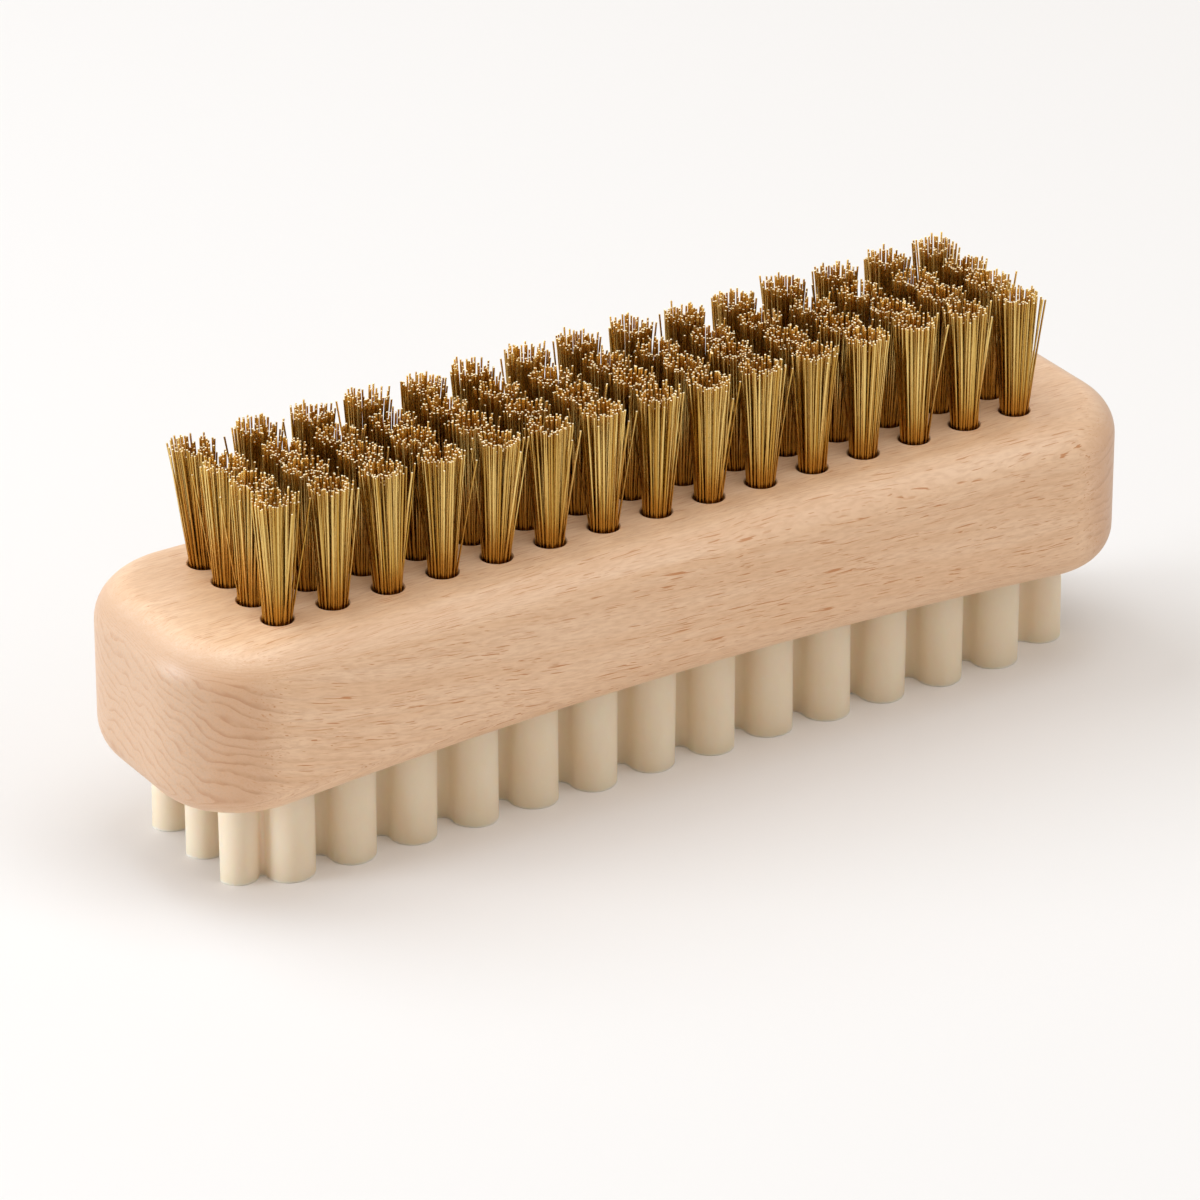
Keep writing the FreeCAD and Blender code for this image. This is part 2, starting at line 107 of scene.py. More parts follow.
# Grain of the wood, in millimetres: the pith of the growth rings, and how far the grain dips at the left end
PITH = (0.0, -24.0, 80.0)
RING_GAP = 1.35
LEFT_END = -60.0
GRAIN_DIP = 6.5
GRAIN_FADE = 15.0
GRAIN_SLOPE = 0.07

# Sizes of the wood's marks along each axis, in millimetres
GRAIN_SWAYS = (((26.0, 9.0, 9.0), 2.2), ((3.6, 1.4, 1.4), 0.35))
RING_SWAYS = (((6.0, 2.6, 2.6), 1.3), ((20.0, 7.0, 7.0), 5.0))
RING_BREAK = (3.0, 1.4, 1.4)
STRONG_FLECK = (4.6, 0.17, 0.17)
FAINT_FLECK = (2.4, 0.16, 0.16)
FLECK_PATCH = (9.0, 3.0, 3.0)
END_PORE = (0.2, 0.2, 0.2)
RIPPLE = (1.5, 0.26, 0.26)
STREAK = (34.0, 1.5, 1.5)

# Wire tufts
TUFT_ROWS = 4
TUFT_WIRES = 88
WIRE_RADIUS = 0.115 * MM
WIRE_END = 0.92
WIRE_SIDES = 6
WIRE_BENDS = (0.36, 0.7)
WIRE_BOW = (-0.12, 0.08)
BUNDLE_FOOT = 1.15 * MM
BUNDLE_MOUTH = 1.5 * MM
BUNDLE_TIP = 2.5 * MM
BUNDLE_CREST = 2.4 * MM
HEART_SHARE = 0.6
HEART_DROP = 2.2 * MM
TIP_SPREAD = 0.16 * MM
TIP_DROP = 0.2 * MM
ROW_DROP = 0.09 * MM
BACK_RISE = 0.6 * MM
TALL_SHARE = 0.08
TALL_RISE = 0.5 * MM
STRAYS = (1, 3)
STRAY_REACH = 1.15 * MM
STRAY_SHARES = (0.5, 1.2)
STRAY_DROPS = (0, 4.0)
STRAY_ANGLE = (-0.2, 0.5)
TUFT_LEAN = 0.2 * MM
CORNER_LEAN = 1.0 * MM
SOFT_CREASE = math.radians(60)
SEED = 7

# Crepe strips: the sheet's path is the same chain of arcs as in the solids.
CREPE_THICKNESS = 1.5 * MM
END_LOBE = 1.6 * MM
LEFT_VALLEY = 1.1 * MM
LEFT_TURN = math.radians(140.0)
RIGHT_VALLEY = 2.3 * MM
RIGHT_TURN = math.radians(154.5)
OVERTURN = math.radians(8.4)
LOBES = 13
ARC_STEP = math.radians(11.25)
CREPE_ROUND = 0.13 * MM
CREPE_LEVELS = (0.25, 0.5, 0.75, 1.0)
NICK_SHARE = 0.03
NICK_HEIGHT = 0.28 * MM

# Unevenness of the crepe's free edge: waves along a strip, and turn of the second wave with height per metre
CREPE_WAVER = 0.1 * MM
LONG_WAVES = 7
SHORT_WAVES = 17
SHIFT_WAVES = 11
SHORT_SHARE = 0.6
WAVE_TURN = 90


def srgb(red, green, blue):
    """A colour of 0 to 255 parts as the linear values that shaders take."""
    parts = [part / 255 for part in (red, green, blue)]
    return tuple(p / 12.92 if p <= 0.04045 else ((p + 0.055) / 1.055) ** 2.4 for p in parts) + (1.0,)


WOOD_PALE = srgb(248, 212, 177)
WOOD_STREAK = srgb(240, 199, 160)
WOOD_END = srgb(191, 161, 135)
WOOD_CORNER_SHADE = srgb(206, 150, 106)
WOOD_RIPPLE = srgb(219, 174, 134)
WOOD_PORE = srgb(196, 148, 110)
WOOD_RING = srgb(178, 118, 76)
WOOD_FLECK = srgb(208, 144, 94)
BRASS_DARK = srgb(186, 142, 60)
BRASS_LIGHT = srgb(240, 208, 130)
BRASS_LOW_SHADE = srgb(190, 144, 60)
BRASS_SCRATCH = srgb(132, 88, 30)
BRASS_CUT_HIGHLIGHT = srgb(255, 244, 214)
ZINC_DARK = srgb(150, 152, 152)
ZINC_LIGHT = srgb(196, 198, 196)
CREPE_CREAM = srgb(244, 223, 194)
CREPE_CLOUD = srgb(251, 237, 213)
CREPE_SPECK = srgb(246, 240, 226)
CREPE_EDGE_HIGHLIGHT = srgb(252, 244, 228)
FLOOR_WHITE = srgb(236, 234, 231)
FLOOR_SHINE = srgb(255, 251, 246)


class Shader:
    """The nodes of a material or world, added by short calls."""

    def __init__(self, owner):
        self.owner = owner
        owner.use_nodes = True
        self.tree = owner.node_tree
        self.tree.nodes.clear()

    def node(self, kind, inputs=None, **settings):
        node = self.tree.nodes.new("ShaderNode" + kind)
        for key, setting in settings.items():
            setattr(node, key, setting)
        for key, entry in (inputs or {}).items():
            if isinstance(entry, bpy.types.NodeSocket):
                self.tree.links.new(entry, node.inputs[key])
            else:
                node.inputs[key].default_value = entry
        return node

    def math(self, operation, *values):
        return self.node("Math", dict(enumerate(values)), operation=operation).outputs[0]

    def vector(self, operation, first, second):
        return self.node("VectorMath", {0: first, 1: second}, operation=operation).outputs[0]

    def mix(self, share, first, second):
        return self.node("Mix", {0: share, 6: first, 7: second}, data_type="RGBA").outputs[2]

    def ramp(self, value, low, high):
        """A smooth step from 0 at low to 1 at high."""
        inputs = {"Value": value, "From Min": low, "From Max": high}
        return self.node("MapRange", inputs, interpolation_type="SMOOTHSTEP").outputs[0]

    def place(self):
        """The place on the piece in millimetres."""
        coordinates = self.node("TexCoord").outputs["Object"]
        return self.vector("DIVIDE", coordinates, (MM, MM, MM))

    def noise(self, place, grain, detail=2.0):
        """Noise whose grain has a length in millimetres along each axis."""
        inputs = {"Vector": self.vector("DIVIDE", place, grain), "Scale": 1.0, "Detail": detail}
        return self.node("TexNoise", inputs).outputs[0]

    def seen_by(self, first, *others):
        """1 for rays of the kinds named, otherwise 0."""
        path = self.node("LightPath").outputs
        seen = path[f"Is {first} Ray"]
        for kind in others:
            seen = self.math("MAXIMUM", seen, path[f"Is {kind} Ray"])
        return seen

    def finish(self, surface, output="OutputMaterial"):
        self.tree.links.new(surface, self.node(output).inputs["Surface"])
        return self.owner


def new_shader(name):
    """The empty nodes of a new material."""
    return Shader(bpy.data.materials.new(name))


def grain_place(s, place, upright):
    """A place on the wood in millimetres, bent so that the grain runs along X."""
    along = s.node("SeparateXYZ", {0: place}).outputs[0]
    left_end = s.math("EXPONENT", s.math("DIVIDE", s.math("SUBTRACT", along, LEFT_END), -GRAIN_FADE))
    dip = s.math("MULTIPLY_ADD", left_end, GRAIN_DIP, s.math("MULTIPLY", along, -GRAIN_SLOPE))
    dip = s.math("MULTIPLY", dip, upright)
    bent = s.vector("SUBTRACT", place, s.node("CombineXYZ", {2: dip}).outputs[0])
    for grain, sway in GRAIN_SWAYS:
        swing = s.vector("DIVIDE", place, grain)
        wander = s.node("TexNoise", {"Vector": swing, "Scale": 1.0, "Detail": 1.0}).outputs["Color"]
        drift = s.vector("MULTIPLY", s.vector("SUBTRACT", wander, (0.5, 0.5, 0.5)), (0.0, sway, sway))
        bent = s.vector("ADD", bent, drift)
    return bent, left_end


def ring_lines(s, bent, left_end, slanted, end_grain, upright):
    """Growth rings as thin dark lines: on the ends and corners, broken at the left and faint elsewhere."""
    spoke = s.vector("MULTIPLY", s.vector("SUBTRACT", bent, PITH), (0.0, 1.0, 1.0))
    radius = s.node("VectorMath", {0: spoke}, operation="LENGTH").outputs["Value"]
    for grain, sway in RING_SWAYS:
        radius = s.math("MULTIPLY_ADD", s.noise(bent, grain), sway, radius)
    ring = s.math("FRACT", s.math("DIVIDE", radius, RING_GAP))
    line = s.math("MULTIPLY", s.ramp(ring, 0.5, 0.95), s.ramp(ring, 1.0, 0.95))
    depth = s.math("MULTIPLY_ADD", end_grain, 0.08, s.math("MULTIPLY_ADD", left_end, 0.22, 0.08))
    depth = s.math("MULTIPLY_ADD", slanted, 0.2, depth)
    broken = s.ramp(s.noise(bent, RING_BREAK, 3.0), 0.26, 0.64)
    return s.math("MULTIPLY", s.math("MULTIPLY", line, depth), s.math("MULTIPLY", upright, broken))


def ray_flecks(s, bent, spindle, low, high):
    """Thin spindles along the grain: the peaks of a noise with a grain of so many millimetres."""
    patchy = s.math("MULTIPLY", s.noise(bent, FLECK_PATCH), 0.16)
    return s.ramp(s.math("ADD", s.noise(bent, spindle, 1.0), patchy), low, high)


def beech_material():
    """Beech: pale and fine, with ray flecks along the grain, growth rings on the ends, a soft ripple and a
    darker tint on the rounded corners that is partly end-grain tone and partly painted shade.
    """
    s = new_shader("beech")
    place = s.place()
    normal = s.node("SeparateXYZ", {0: s.node("NewGeometry").outputs["Normal"]}).outputs
    aside = s.math("ABSOLUTE", normal[0])
    end_grain = s.ramp(aside, 0.1, 0.9)
    upright = s.ramp(s.math("ABSOLUTE", normal[2]), 0.9, 0.3)
    slanted = s.math("MULTIPLY", s.ramp(aside, 0.1, 0.45), s.ramp(aside, 0.95, 0.6))
    slanted = s.math("MULTIPLY", slanted, upright)
    bent, left_end = grain_place(s, place, upright)
    rings = ring_lines(s, bent, left_end, slanted, end_grain, upright)
    strong = ray_flecks(s, bent, STRONG_FLECK, 0.735, 0.8)
    faint = s.math("MULTIPLY", ray_flecks(s, bent, FAINT_FLECK, 0.69, 0.82), 0.45)
    shown = s.math("MULTIPLY", s.ramp(aside, 0.75, 0.1), s.math("MULTIPLY_ADD", upright, 0.2, 0.8))
    fleck = s.math("MULTIPLY", s.math("MAXIMUM", strong, faint), shown)
    pores = s.math("MULTIPLY", s.ramp(s.noise(place, END_PORE, 1.0), 0.52, 0.72), end_grain)
    ripple = s.noise(bent, RIPPLE, 3.0)
    streak = s.noise(bent, STREAK, 3.0)
    colour = s.mix(s.ramp(streak, 0.3, 0.7), WOOD_PALE, WOOD_STREAK)
    colour = s.mix(s.math("MULTIPLY", end_grain, 0.8), colour, WOOD_END)
    # Darker, warmer tint on the rounded plan corners: partly their end-grain tone, partly painted shade.
    colour = s.mix(s.math("MULTIPLY", slanted, 0.35), colour, WOOD_CORNER_SHADE)
    colour = s.mix(s.math("MULTIPLY", s.ramp(ripple, 0.35, 0.7), 0.42), colour, WOOD_RIPPLE)
    colour = s.mix(s.math("MULTIPLY", pores, 0.3), colour, WOOD_PORE)
    colour = s.mix(rings, colour, WOOD_RING)
    colour = s.mix(fleck, colour, WOOD_FLECK)
    relief = s.math("MULTIPLY_ADD", fleck, -0.4, s.math("MULTIPLY", ripple, 0.8))
    bump = s.node("Bump", {"Height": relief, "Strength": 0.3, "Distance": 0.1 * MM})
    surface = s.node("BsdfPrincipled", {
        "Base Color": colour,
        "Roughness": s.math("MULTIPLY_ADD", ripple, 0.2, 0.32),
        "Normal": bump.outputs[0],
        "Specular IOR Level": 0.45,
    })
    return s.finish(surface.outputs[0])


def brass_material():
    """Drawn brass wire: each wire a little different, with painted shade and a painted reflection of the wood
    making it browner towards the block, and a painted highlight on the cut ends.
    """
    s = new_shader("brass_wire")
    tint = s.node("Attribute", attribute_name="tint").outputs["Fac"]
    tip = s.node("Attribute", attribute_name="tip").outputs["Fac"]
    rise = s.node("Attribute", attribute_name="rise").outputs["Fac"]
    scratch = s.noise(s.place(), (0.1, 0.1, 1.5))
    colour = s.mix(tint, BRASS_DARK, BRASS_LIGHT)
    # Browner towards the block: painted shade between the packed wires and a painted reflection of the wood.
    colour = s.mix(s.ramp(rise, 0.8, 0.35), colour, BRASS_LOW_SHADE)
    colour = s.mix(s.math("MULTIPLY", s.ramp(scratch, 0.55, 0.75), 0.4), colour, BRASS_SCRATCH)
    # Cut ends painted paler than the brass: a painted highlight.
    colour = s.mix(tip, colour, BRASS_CUT_HIGHLIGHT)
    surface = s.node("BsdfPrincipled", {
        "Base Color": colour,
        "Metallic": 1.0,
        "Roughness": s.math("MULTIPLY_ADD", tip, 0.4, s.math("MULTIPLY_ADD", scratch, 0.16, 0.18)),
    })
    return s.finish(surface.outputs[0])


def anchor_material():
    """Galvanised flat wire, hidden in the holes."""
    s = new_shader("anchor_wire")
    spangle = s.noise(s.place(), (0.4, 0.4, 0.4))
    colour = s.mix(spangle, ZINC_DARK, ZINC_LIGHT)
    surface = s.node("BsdfPrincipled", {"Base Color": colour, "Metallic": 1.0, "Roughness": 0.42})
    return s.finish(surface.outputs[0])


def crepe_material():
    """Natural crepe rubber: cream, cloudy and a little see-through, with specks and a painted highlight along
    the lower edge.
    """
    s = new_shader("crepe")
    place = s.place()
    cloud = s.noise(place, (3.0, 3.0, 6.0), 3.0)
    cells = s.node("TexVoronoi", {"Vector": place, "Scale": 0.8}).outputs["Distance"]
    height = s.node("SeparateXYZ", {0: place}).outputs[2]
    colour = s.mix(cloud, CREPE_CREAM, CREPE_CLOUD)
    colour = s.mix(s.math("MULTIPLY", s.ramp(cells, 0.12, 0.05), 0.25), colour, CREPE_SPECK)
    # Paler below 0.35 mm of height: a painted highlight along the lower edge.
    colour = s.mix(s.math("MULTIPLY", s.ramp(height, 0.35, 0.1), 0.8), colour, CREPE_EDGE_HIGHLIGHT)
    pores = s.noise(place, (0.35, 0.35, 0.5), 2.0)
    bump = s.node("Bump", {"Height": pores, "Strength": 0.12, "Distance": 0.08 * MM})
    surface = s.node("BsdfPrincipled", {
        "Base Color": colour,
        "Roughness": 0.55,
        "Subsurface Weight": 0.35,
        "Subsurface Radius": (1.0, 0.6, 0.35),
        "Subsurface Scale": 1.6 * MM,
        "Normal": bump.outputs[0],
        "Specular IOR Level": 0.4,
    })
    return s.finish(surface.outputs[0])


def floor_material():
    """White studio floor, a little brighter for the camera than the light on it makes it."""
    s = new_shader("studio_floor")
    white = s.node("BsdfDiffuse", {"Color": FLOOR_WHITE})
    strength = s.math("MULTIPLY", s.seen_by("Camera", "Glossy", "Transmission"), FLOOR_GLOW)
    glow = s.node("Emission", {"Color": FLOOR_SHINE, "Strength": strength})
    return s.finish(s.node("AddShader", {0: white.outputs[0], 1: glow.outputs[0]}).outputs[0])


def new_piece(name, mesh, material, slot, *nodes):
    """An object of the part that rides on the body and stands for the named nodes."""
    mesh.materials.append(material)
    piece = bpy.data.objects.new(name, mesh)
    bpy.context.scene.collection.objects.link(piece)
    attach(piece, BODY)
    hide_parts(*nodes)


def block_outline(inset):
    """The block's outline seen from above, drawn in by an inset, anticlockwise from the front left."""
    low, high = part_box("beech_block")
    radius = PLAN_CORNER - inset
    flat_x = (high.x - low.x) / 2 - PLAN_CORNER
    flat_y = (high.y - low.y) / 2 - PLAN_CORNER
    points = []
    corners = ((1, -1), (1, 1), (-1, 1), (-1, -1))
    for k, (side_x, side_y) in enumerate(corners):
        steps = SIDE_STEPS if k % 2 == 0 else END_STEPS
        centre = Vector((side_x * flat_x, side_y * flat_y))
        before = Vector(corners[k - 1])
        start = Vector((before.x * flat_x, before.y * flat_y))
        outward = (k - 1) * HALF_TURN / 2
        away = Vector((math.cos(outward), math.sin(outward))) * radius
        points += [(start + away).lerp(centre + away, step / steps) for step in range(steps)]
        for step in range(CORNER_STEPS):
            angle = outward + HALF_TURN / 2 * step / CORNER_STEPS
            points.append(centre + Vector((math.cos(angle), math.sin(angle))) * radius)
    return points


def arch(x):
    """Rise of the block's underside at a place along it."""
    half = (CAD_BOX[1][0] - CAD_BOX[0][0]) / 2
    radius = (half ** 2 + ARCH_RISE ** 2) / (2 * ARCH_RISE)
    return math.sqrt(radius ** 2 - x ** 2) - (radius - ARCH_RISE)


def tuft_places():
    """The middle of each tuft on the top face, column by column and from the front."""
    columns = []
    for node in sorted(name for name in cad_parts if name.startswith("brass_tufts")):
        low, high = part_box(node)
        front = low.y + BUNDLE_CREST
        gap = (high.y - BUNDLE_CREST - front) / (TUFT_ROWS - 1)
        middle = (low.x + high.x) / 2
        columns.append((node, [Vector((middle, front + gap * row)) for row in range(TUFT_ROWS)]))
    return columns


def make_block(material):
    """Block with round edges, arched underside, recess and round chamfered holes."""
    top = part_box("beech_block")[1].z
    foot = top - BLOCK_HEIGHT
    bm = bmesh.new()

    def ring(inset, height):
        points = block_outline(inset)
        return [bm.verts.new((p.x, p.y, height(p.x))) for p in points]

    def skin(first, second):
        for k in range(len(first)):
            bm.faces.new((first[k - 1], second[k - 1], second[k], first[k]))

    rings = [ring(TOP_EDGE + SHADE_STRIP, lambda x: top)]
    for step in range(EDGE_STEPS, -1, -1):
        angle = HALF_TURN / 2 * step / EDGE_STEPS
        drop = TOP_EDGE * (1 - math.sin(angle))
        rings.append(ring(TOP_EDGE * (1 - math.cos(angle)), lambda x: top - drop))
    rings.append(ring(0.0, lambda x: top - TOP_EDGE - SHADE_STRIP))
    rings.append(ring(0.0, lambda x: foot + arch(x) + LOWER_EDGE + SHADE_STRIP))
    last_angle = math.acos(1 - RECESS_WALL / LOWER_EDGE)
    for step in range(EDGE_STEPS + 1):
        angle = last_angle * step / EDGE_STEPS
        rise = LOWER_EDGE * (1 - math.sin(angle))
        rings.append(ring(LOWER_EDGE * (1 - math.cos(angle)), lambda x: foot + arch(x) + rise))
    rings.append(ring(RECESS_WALL, lambda x: foot + ARCH_RISE + RECESS_DEPTH))
    for first, second in zip(rings, rings[1:]):
        skin(first, second)
    bm.faces.new(reversed(rings[-1]))

    angles = [2 * HALF_TURN * k / HOLE_STEPS for k in range(HOLE_STEPS)]
    mouths = []
    for _, places in tuft_places():
        for place in places:
            circles = []
            for reach, drop in ((HOLE_CHAMFER, 0.0), (0.0, HOLE_CHAMFER), (0.0, HOLE_DEPTH)):
                radius = HOLE_RADIUS + reach
                circles.append([
                    bm.verts.new((place.x + radius * math.cos(a), place.y + radius * math.sin(a), top - drop))
                    for a in angles
                ])
            for first, second in zip(circles, circles[1:]):
                skin(second, first)
            bm.faces.new(circles[-1])
            mouths.append(circles[0])
    rims = []
    for loop in [rings[0]] + mouths:
        rims += [bm.edges.get((loop[k - 1], loop[k])) for k in range(len(loop))]
    bmesh.ops.triangle_fill(bm, use_beauty=True, edges=rims)
    bmesh.ops.recalc_face_normals(bm, faces=bm.faces)
    mesh = bpy.data.meshes.new("beech_block_wood")
    bm.to_mesh(mesh)
    bm.free()
    mesh.shade_smooth()
    mesh.set_sharp_from_angle(angle=BLOCK_CREASE)
    new_piece("beech_block_wood", mesh, material, "beech", "beech_block")


class WireMesh:
    """Thin round wires gathered in one mesh, with values on their corners for the shader."""

    def __init__(self):
        self.verts = []
        self.faces = []
        self.values = {"tint": [], "tip": [], "rise": []}

    def add_ring(self, centre, radius, **values):
        for k in range(WIRE_SIDES):
            angle = 2 * HALF_TURN * k / WIRE_SIDES
            self.verts.append(centre + Vector((math.cos(angle), math.sin(angle), 0)) * radius)
            for name, entries in self.values.items():
                entries.append(values[name])

    def add_wire(self, points, tint, bright):
        """A wire through points from its foot up, with a softly rounded cut end."""
        start = len(self.verts)
        bottom = points[0].z
        tall = points[-1].z - bottom
        for point in points:
            self.add_ring(point, WIRE_RADIUS, tint=tint, tip=0.0, rise=(point.z - bottom) / tall)
        end = points[-1] + (points[-1] - points[-2]).normalized() * WIRE_RADIUS / 3
        self.add_ring(end, WIRE_RADIUS * WIRE_END, tint=tint, tip=bright, rise=1.0)
        last = start + len(points) * WIRE_SIDES
        for base in range(start, last, WIRE_SIDES):
            for k in range(WIRE_SIDES):
                after = (k + 1) % WIRE_SIDES
                self.faces.append((base + k, base + after, base + WIRE_SIDES + after, base + WIRE_SIDES + k))
        self.faces.append(tuple(last + k for k in range(WIRE_SIDES)))
        self.faces.append(tuple(start + k for k in reversed(range(WIRE_SIDES))))

    def build(self, name):
        mesh = bpy.data.meshes.new(name)
        mesh.from_pydata(self.verts, [], self.faces)
        for value, entries in self.values.items():
            mesh.attributes.new(value, "FLOAT", "POINT").data.foreach_set("value", entries)
        mesh.shade_smooth()
        mesh.set_sharp_from_angle(angle=SOFT_CREASE)
        return mesh


def add_tuft(wires, place, foot, mouth, tip, drop, lean, draw):
    """One tuft: wires spread over a bundle that opens upwards, lower in its heart, with some strays."""
    golden = HALF_TURN * (3 - math.sqrt(5))
    twist = draw.gauss(*STRAY_ANGLE) - golden * (TUFT_WIRES - 1)
    strays = draw.sample(range(TUFT_WIRES * 2 // 3, TUFT_WIRES - 1), draw.randint(*STRAYS))
    strays.append(TUFT_WIRES - 1)
    for wire in range(TUFT_WIRES):
        share = math.sqrt((wire + 0.5) / TUFT_WIRES)
        angle = twist + golden * wire
        spoke = Vector((math.cos(angle), math.sin(angle), 0))
        swerve = Vector((draw.gauss(0, TIP_SPREAD), draw.gauss(0, TIP_SPREAD), 0))
        height = tip - abs(draw.gauss(0, drop)) - HEART_DROP * max(0, 1 - share / HEART_SHARE)
        if draw.random() < TALL_SHARE:
            height += TALL_RISE * draw.random()
        reach = BUNDLE_TIP
        if wire in strays:
            reach += STRAY_REACH * draw.uniform(*STRAY_SHARES)
            height -= drop * draw.uniform(*STRAY_DROPS)
        low = place + spoke * BUNDLE_FOOT * share
        middle = place + spoke * BUNDLE_MOUTH * share
        end = place + spoke * reach * share + swerve + lean
        bow = spoke * (BUNDLE_TIP - BUNDLE_MOUTH) * draw.uniform(*WIRE_BOW)
        points = [Vector((low.x, low.y, foot)), Vector((middle.x, middle.y, mouth))]
        for part in WIRE_BENDS:
            at = middle.lerp(end, part) + bow * math.sin(HALF_TURN * part)
            points.append(Vector((at.x, at.y, mouth + (height - mouth) * part)))
        points.append(Vector((end.x, end.y, height)))
        wires.add_wire(points, draw.random(), draw.random() ** 0.25)


def make_tufts(material):
    """Every column of tufts as loose wires in place of the plain bundles, a little longer in the back row."""
    draw = random.Random(SEED)
    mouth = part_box("beech_block")[1].z
    for column, (node, places) in enumerate(tuft_places()):
        low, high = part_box(node)
        wires = WireMesh()
        for row, place in enumerate(places):
            lean = Vector((draw.gauss(0, TUFT_LEAN), draw.gauss(0, TUFT_LEAN), 0))
            drop = TIP_DROP + ROW_DROP * row
            tip = high.z
            if row == TUFT_ROWS - 1:
                tip += BACK_RISE
                if column == 0:
                    lean.x -= CORNER_LEAN
            add_tuft(wires, place.to_3d(), low.z, mouth, tip, drop, lean, draw)
        name = node.replace("brass_tufts", "brass_wires")
        new_piece(name, wires.build(name), material, "brass_wire", node)


def sheet_bends(low, high):
    """The arcs of a strip's sheet from its left end: middle, radius, first and last angle."""
    run, rise = math.cos(OVERTURN), math.sin(OVERTURN)
    ends = []
    for valley, turned in ((LEFT_VALLEY, LEFT_TURN), (RIGHT_VALLEY, RIGHT_TURN)):
        away = (valley + END_LOBE) * Vector((-math.cos(turned), math.sin(turned)))
        ends.append((valley, turned, away, valley * run + away.x + END_LOBE + CREPE_THICKNESS / 2))
    pitch = (high.x - low.x - ends[0][3] - ends[1][3]) / (LOBES - 0.5)
    wave = pitch / 4 / run
    first = low.x + ends[0][3] + pitch / 4
    last = first + pitch * (LOBES - 1)
    zero = low.y + wave * (1 + rise) + CREPE_THICKNESS / 2
    front, back = zero - wave * rise, zero + wave * rise
    bends = []
    for lobe in range(LOBES):
        x = first + pitch * lobe
        bends.append((x, front, wave, HALF_TURN - OVERTURN, 2 * HALF_TURN + OVERTURN))
        if lobe < LOBES - 1:
            bends.append((x + pitch / 2, back, wave, HALF_TURN + OVERTURN, -OVERTURN))
    valley, turned, away, _ = ends[0]
    x, y = first - (wave + valley) * run, zero + valley * rise
    bends.insert(0, (x, y, valley, turned, -OVERTURN))
    bends.insert(0, (x - away.x, y + away.y, END_LOBE, HALF_TURN, HALF_TURN + turned))
    valley, turned, away, _ = ends[1]
    x, y = last + (wave + valley) * run, zero + valley * rise
    bends.append((x, y, valley, HALF_TURN + OVERTURN, HALF_TURN - turned))
    bends.append((x + away.x, y + away.y, END_LOBE, 2 * HALF_TURN - turned, 2 * HALF_TURN))
    return bends


def sheet_path(node):
    """The middle line of a strip's sheet as places and outward directions, from its left end."""
    path = []
    for x, y, radius, start, end in sheet_bends(*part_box(node)):
        steps = max(2, round(abs(end - start) / ARC_STEP))
        side = 1 if end > start else -1
        for step in range(1 if path else 0, steps + 1):
            angle = start + (end - start) * step / steps
            outward = Vector((math.cos(angle), math.sin(angle)))
            path.append((Vector((x, y)) + outward * radius, outward * side))
    return path


def sheet_faces(count, levels):
    """Faces of a sheet whose levels each hold one side's points and then the other's, back to the start."""
    ring = 2 * count
    faces = []
    for base in range(0, (levels - 1) * ring, ring):
        for k in range(ring):
            after = (k + 1) % ring
            faces.append((base + k, base + after, base + ring + after, base + ring + k))
    for base in (0, (levels - 1) * ring):
        for k in range(count - 1):
            faces.append((base + k, base + k + 1, base + ring - k - 2, base + ring - k - 1))
    return faces


def make_strip(node, material, draw):
    """Crepe strip: one bent sheet with rounded lower edges and the slight unevenness of soft rubber."""
    low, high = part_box(node)
    path = sheet_path(node)
    count = len(path)
    phase = [draw.uniform(0, 2 * HALF_TURN) for _ in range(4)]
    levels = [(0.0, CREPE_ROUND), (CREPE_ROUND * 0.3, CREPE_ROUND * 0.3), (CREPE_ROUND, 0.0)]
    levels += [(high.z * part, 0.0) for part in CREPE_LEVELS]
    nicks = [NICK_HEIGHT * draw.random() if draw.random() < NICK_SHARE else 0.0 for _ in range(2 * count)]
    verts = []
    for height, inset in levels:
        free = (1 - height / high.z) * CREPE_WAVER
        thick = CREPE_THICKNESS / 2 - inset
        sides = ([], [])
        for k, (place, away) in enumerate(path):
            run = 2 * HALF_TURN * place.x / (high.x - low.x)
            short = math.sin(SHORT_WAVES * run + phase[1] + WAVE_TURN * height)
            waver = free * (math.sin(LONG_WAVES * run + phase[0]) + SHORT_SHARE * short)
            shift = free * math.sin(SHIFT_WAVES * run + phase[2])
            middle = place + Vector((shift, waver))
            end_pull = inset if k in (0, count - 1) else 0.0
            tangent = Vector((-away.y, away.x)) * (1 if k == 0 else -1) * end_pull
            for side, sign, nick in zip(sides, (1, -1), (nicks[k], nicks[k + count])):
                at = middle + away * thick * sign + tangent
                side.append((at.x, at.y, max(height, nick + height / 2)))
        verts += sides[0] + sides[1][::-1]
    mesh = bpy.data.meshes.new(node + "_sheet")
    mesh.from_pydata(verts, [], sheet_faces(count, len(levels)))
    bm = bmesh.new()
    bm.from_mesh(mesh)
    bmesh.ops.recalc_face_normals(bm, faces=bm.faces)
    bm.to_mesh(mesh)
    bm.free()
    mesh.shade_smooth()
    mesh.set_sharp_from_angle(angle=SOFT_CREASE)
    new_piece(node + "_sheet", mesh, material, "crepe", node)


def make_anchors(material):
    """The anchors stay as they are, with their own finish."""
    for name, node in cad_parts.items():
        if name.startswith("tuft_anchors"):
            node.data.materials.clear()
            node.data.materials.append(material)


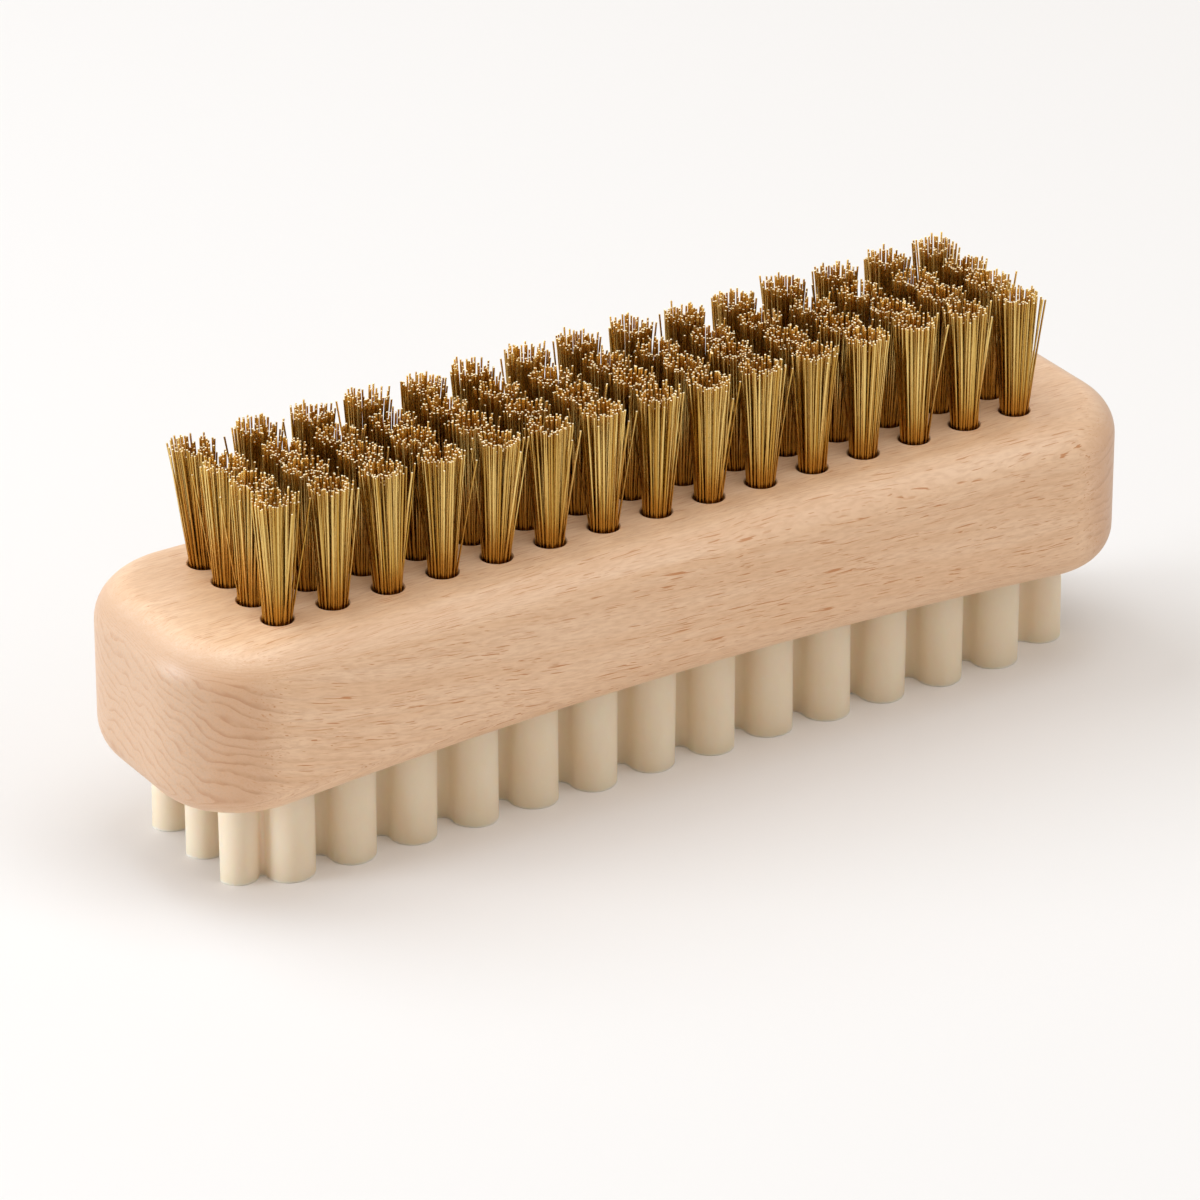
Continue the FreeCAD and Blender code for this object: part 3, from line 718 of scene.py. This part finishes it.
def make_floor(material):
    mesh = bpy.data.meshes.new("studio_floor")
    corners = [(x * FLOOR_REACH, y * FLOOR_REACH, 0) for x, y in ((-1, -1), (1, -1), (1, 1), (-1, 1))]
    mesh.from_pydata(corners, [], [(0, 1, 2, 3)])
    mesh.materials.append(material)
    floor = bpy.data.objects.new("studio_floor", mesh)
    bpy.context.scene.collection.objects.link(floor)


def make_light():
    """Large soft lamps behind on the left, low at the left, overhead and in front, and a warm surround."""
    for name, (place, width, power) in LAMPS.items():
        lamp = bpy.data.lights.new(name, "AREA")
        lamp.shape = "DISK"
        lamp.size = width
        lamp.energy = power
        lamp.color = LAMP_COLOUR
        holder = bpy.data.objects.new(name, lamp)
        holder.location = place
        holder.rotation_euler = (Vector(place) - Vector(LAMP_AIM)).to_track_quat("Z", "Y").to_euler()
        bpy.context.scene.collection.objects.link(holder)
    s = Shader(bpy.data.worlds.new("studio"))
    shade = s.mix(s.seen_by("Camera", "Glossy"), SURROUND_LIGHT, SURROUND_SEEN)
    surround = s.node("Background", {"Color": shade})
    bpy.context.scene.world = s.finish(surround.outputs[0], "OutputWorld")


def make_camera():
    """A pinhole at the photograph's place, aimed from the middle of the block's top face."""
    azimuth, elevation = VIEW_AZIMUTH, VIEW_ELEVATION
    back = Vector((
        math.sin(azimuth) * math.cos(elevation),
        -math.cos(azimuth) * math.cos(elevation),
        math.sin(elevation),
    ))
    right = Vector((math.cos(azimuth), math.sin(azimuth), 0))
    up = back.cross(right)
    aim = Vector((0, 0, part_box("beech_block")[1].z))
    place = aim - right * VIEW_ASIDE - up * VIEW_ABOVE + back * VIEW_DISTANCE
    camera = bpy.data.cameras.new("photo_view")
    camera.lens = VIEW_LENS
    camera.sensor_width = VIEW_SENSOR
    camera.sensor_height = VIEW_SENSOR
    holder = bpy.data.objects.new("photo_view", camera)
    turned = Matrix((right, up, back)).transposed().to_4x4()
    holder.matrix_world = Matrix.Translation(place) @ turned
    bpy.context.scene.collection.objects.link(holder)
    bpy.context.scene.camera = holder


make_camera()
make_block(beech_material())
make_tufts(brass_material())
crepe = crepe_material()
for strip_number, strip in enumerate(("front", "middle", "back")):
    make_strip("crepe_strip_" + strip, crepe, random.Random(SEED + strip_number))
make_anchors(anchor_material())
make_floor(floor_material())
make_light()
bpy.context.scene.view_settings.view_transform = "Standard"
